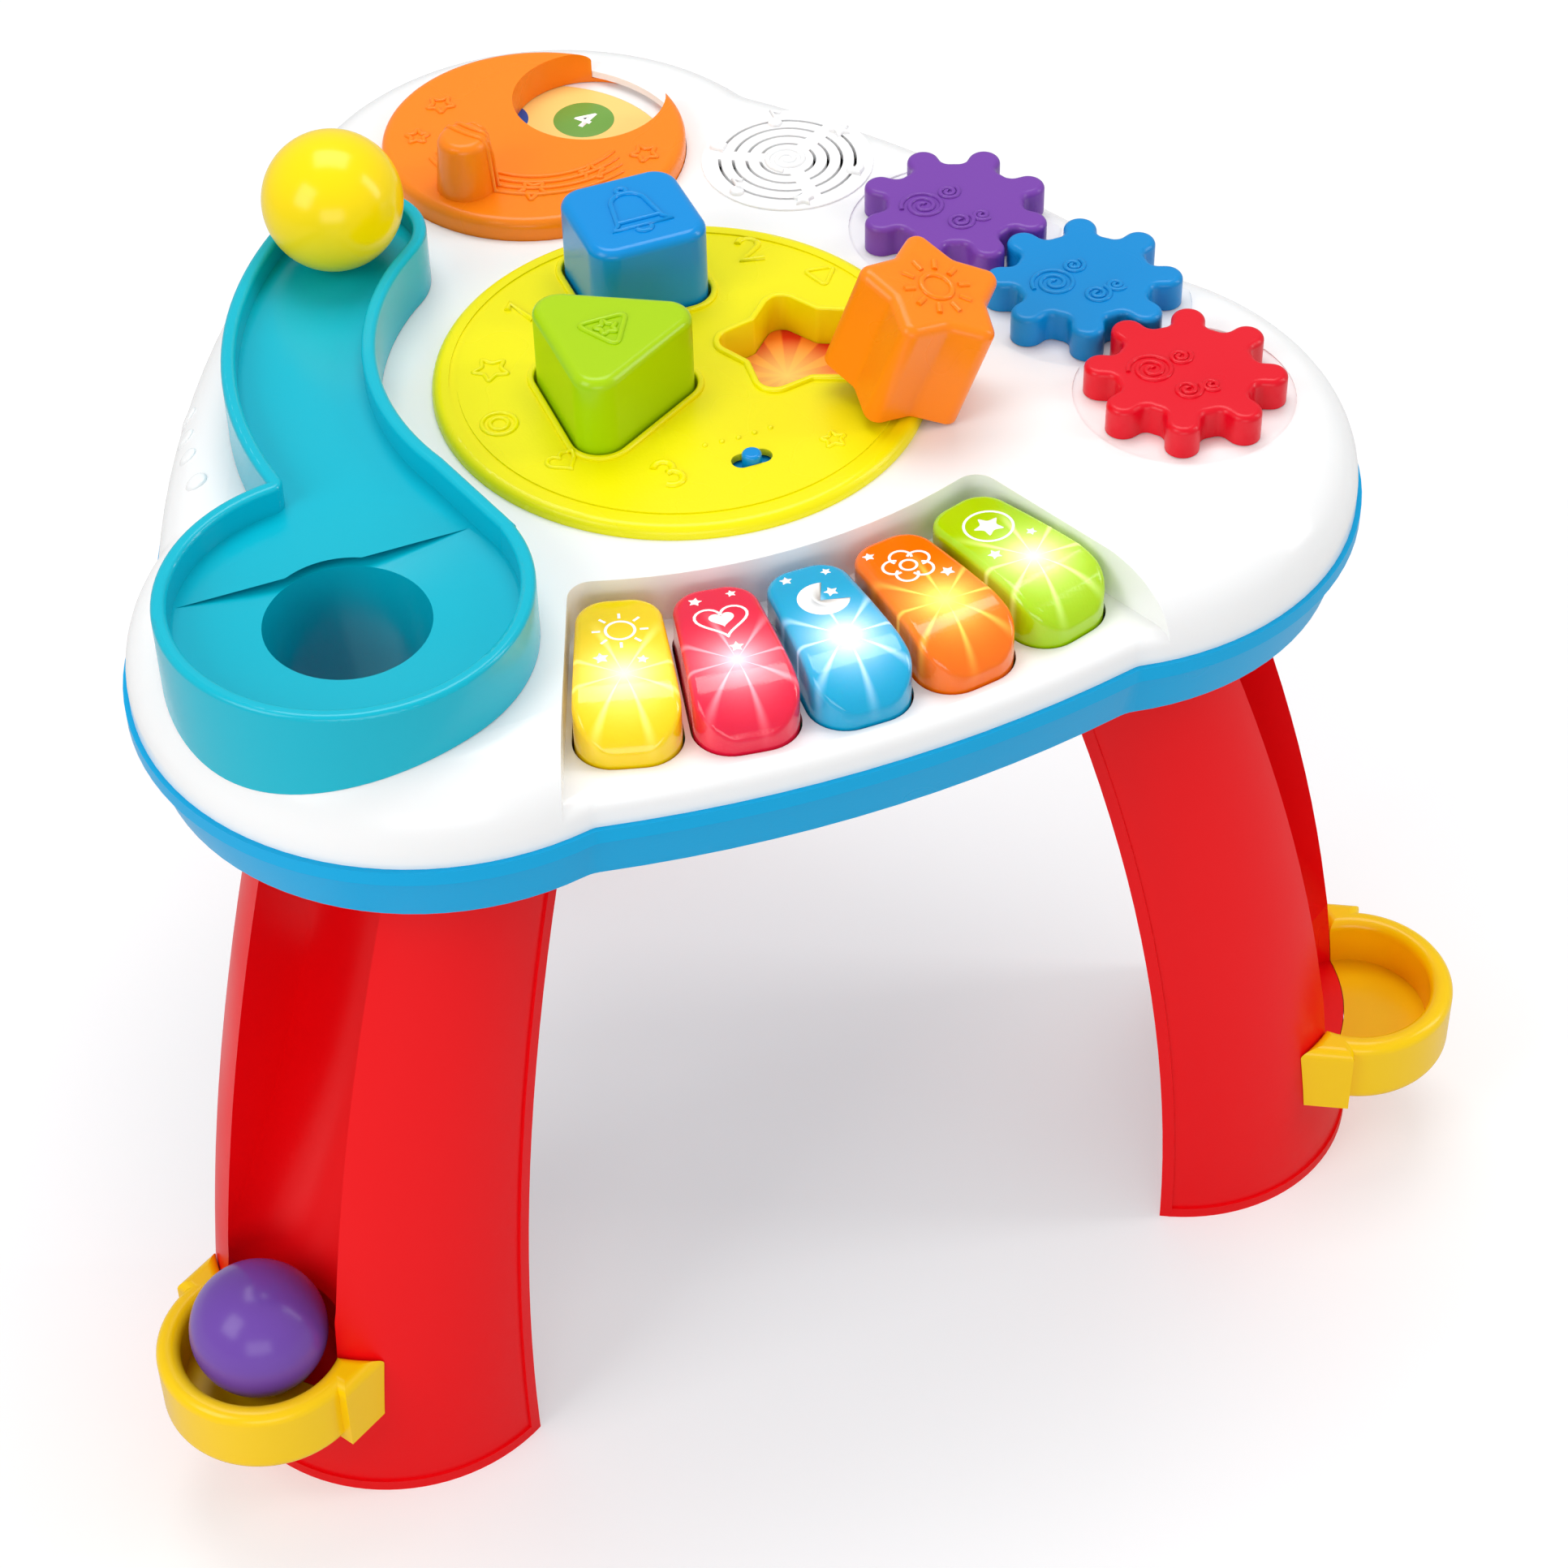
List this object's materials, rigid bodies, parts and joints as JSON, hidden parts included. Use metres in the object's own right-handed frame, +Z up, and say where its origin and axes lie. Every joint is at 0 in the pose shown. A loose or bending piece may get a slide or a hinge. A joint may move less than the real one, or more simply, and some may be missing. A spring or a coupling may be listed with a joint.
{
  "type": "musical activity table",
  "caption": "Three-legged toddler music table with a ball slide and funnel, shape sorter, moon spinner over a number dial, meshing gears and lamp keys.",
  "frame": {"origin": "middle of the overall footprint, on the floor", "axes": "+Z up; -Y towards the player at the keys; +X to the player's right, the side of the gears; the funnel is at -X"},
  "size_m": [0.5652, 0.5129, 0.4455],
  "materials": {
    "white_shell": "gloss moulded",
    "blue_tray": "satin moulded",
    "red_leg": "gloss moulded",
    "turquoise": "gloss moulded",
    "ramp_turquoise": "gloss moulded",
    "yellow_plate": "gloss moulded",
    "print_blue": "printed card",
    "print_green": "printed card",
    "print_orange": "printed card",
    "block_blue": "gloss moulded",
    "block_lime": "gloss moulded",
    "block_orange": "gloss moulded",
    "ball_yellow": "gloss moulded",
    "ball_purple": "gloss moulded",
    "moon_orange": "gloss moulded",
    "print_dial": "printed card",
    "dial_white": "moulded",
    "gear_purple": "gloss moulded",
    "screw_steel": "zinc plated",
    "gear_blue": "gloss moulded",
    "gear_red": "gloss moulded",
    "key_yellow": "translucent moulded",
    "key_pink": "translucent moulded",
    "key_blue": "translucent moulded",
    "key_orange": "translucent moulded",
    "key_green": "translucent moulded",
    "frame_black": "moulded",
    "dome_rubber": "silicone",
    "board_green": "lacquered board",
    "lamp_clear": "clear",
    "knob_blue": "gloss moulded",
    "switch_black": "moulded",
    "speaker_steel": "painted",
    "speaker_paper": "paper",
    "cell_jacket": "printed jacket",
    "contact_steel": "nickel plated"
  },
  "bodies": {
    "table": {"top_shell": "white_shell", "base_tray": "blue_tray", "leg_left": "red_leg", "cup_left": "turquoise", "leg_right": "red_leg", "cup_right": "turquoise", "leg_back": "red_leg", "cup_back": "turquoise", "ball_ramp": "ramp_turquoise", "sorter_plate": "yellow_plate", "square_inlay": "print_blue", "triangle_inlay": "print_green", "star_inlay": "print_orange", "dial_label": "print_dial", "dial_plate": "dial_white", "key_frame": "frame_black", "key_dome_1": "dome_rubber", "key_dome_2": "dome_rubber", "key_dome_3": "dome_rubber", "key_dome_4": "dome_rubber", "key_dome_5": "dome_rubber", "key_board": "board_green", "key_lamps": "lamp_clear", "switch_body": "switch_black", "main_board": "board_green", "speaker_frame": "speaker_steel", "speaker_cone": "speaker_paper", "battery_cells": "cell_jacket", "battery_contacts": "contact_steel", "battery_door": "blue_tray", "door_screw": "screw_steel", "housing_screws": "screw_steel", "leg_screws": "screw_steel", "inner_screws": "screw_steel"},
    "key_yellow": {"key_yellow": "key_yellow"},
    "key_pink": {"key_pink": "key_pink"},
    "key_blue": {"key_blue": "key_blue"},
    "key_orange": {"key_orange": "key_orange"},
    "key_green": {"key_green": "key_green"},
    "gear_blue": {"gear_blue": "gear_blue", "gear_screw_blue": "screw_steel"},
    "gear_purple": {"gear_purple": "gear_purple", "gear_screw_purple": "screw_steel"},
    "gear_red": {"gear_red": "gear_red", "gear_screw_red": "screw_steel"},
    "moon": {"moon_spinner": "moon_orange"},
    "switch": {"switch_knob": "knob_blue"},
    "block_square": {"block_square": "block_blue"},
    "block_triangle": {"block_triangle": "block_lime"},
    "block_star": {"block_star": "block_orange"},
    "ball_yellow": {"ball_yellow": "ball_yellow"},
    "ball_purple": {"ball_purple": "ball_purple"}
  },
  "joints": [
    {"name": "key_yellow_press", "type": "hinge", "parent": "table", "child": "key_yellow", "pos_m": [-0.0622, -0.15698, 0.3435], "axis": [0.9542, -0.299, 0], "range_deg": [0, 3], "stiffness_Nm_per_rad": 0.25, "springref_deg": -0.57, "deforming": ["key_dome_1"]},
    {"name": "key_pink_press", "type": "hinge", "parent": "table", "child": "key_pink", "pos_m": [-0.03146, -0.16411, 0.3435], "axis": [0.9885, -0.1513, 0], "range_deg": [0, 3], "stiffness_Nm_per_rad": 0.25, "springref_deg": -0.57, "deforming": ["key_dome_2"]},
    {"name": "key_blue_press", "type": "hinge", "parent": "table", "child": "key_blue", "pos_m": [0, -0.1665, 0.3435], "axis": [1, 0, 0], "range_deg": [0, 3], "stiffness_Nm_per_rad": 0.25, "springref_deg": -0.57, "deforming": ["key_dome_3"]},
    {"name": "key_orange_press", "type": "hinge", "parent": "table", "child": "key_orange", "pos_m": [0.03146, -0.16411, 0.3435], "axis": [0.9885, 0.1513, 0], "range_deg": [0, 3], "stiffness_Nm_per_rad": 0.25, "springref_deg": -0.57, "deforming": ["key_dome_4"]},
    {"name": "key_green_press", "type": "hinge", "parent": "table", "child": "key_green", "pos_m": [0.0622, -0.15698, 0.3435], "axis": [0.9542, 0.299, 0], "range_deg": [0, 3], "stiffness_Nm_per_rad": 0.25, "springref_deg": -0.57, "deforming": ["key_dome_5"]},
    {"name": "moon_spin", "type": "hinge", "parent": "table", "child": "moon", "pos_m": [0, 0.1, 0.374], "axis": [0, 0, 1], "continuous": true},
    {"name": "gear_blue_spin", "type": "hinge", "parent": "table", "child": "gear_blue", "pos_m": [0.1601, -0.0793, 0.374], "axis": [0, 0, 1], "continuous": true},
    {"name": "gear_purple_spin", "type": "hinge", "parent": "table", "child": "gear_purple", "pos_m": [0.13462, -0.01593, 0.374], "axis": [0, 0, 1], "continuous": true},
    {"name": "gear_red_spin", "type": "hinge", "parent": "table", "child": "gear_red", "pos_m": [0.16961, -0.14694, 0.374], "axis": [0, 0, 1], "continuous": true},
    {"name": "switch_slide", "type": "slide", "parent": "table", "child": "switch", "axis": [1, 0, 0], "range_m": [-0.0038, 0.0038]},
    {"name": "block_square_lift", "type": "slide", "parent": "table", "child": "block_square", "axis": [0, 0, 1], "range_m": [0, 0.06]},
    {"name": "block_triangle_lift", "type": "slide", "parent": "table", "child": "block_triangle", "axis": [0, 0, 1], "range_m": [0, 0.06]},
    {"name": "ball_yellow_lift", "type": "slide", "parent": "table", "child": "ball_yellow", "axis": [0, 0, 1], "range_m": [0, 0.06]},
    {"name": "ball_purple_lift", "type": "slide", "parent": "table", "child": "ball_purple", "axis": [0, 0, 1], "range_m": [0, 0.06]},
    {"name": "block_star_lift", "type": "slide", "parent": "table", "child": "block_star", "axis": [0, 0, 1], "range_m": [0, 0.06]}
  ],
  "couplings": [
    {"joint": "gear_purple_spin", "follows": "gear_blue_spin", "ratio": -1},
    {"joint": "gear_red_spin", "follows": "gear_blue_spin", "ratio": -1}
  ]
}
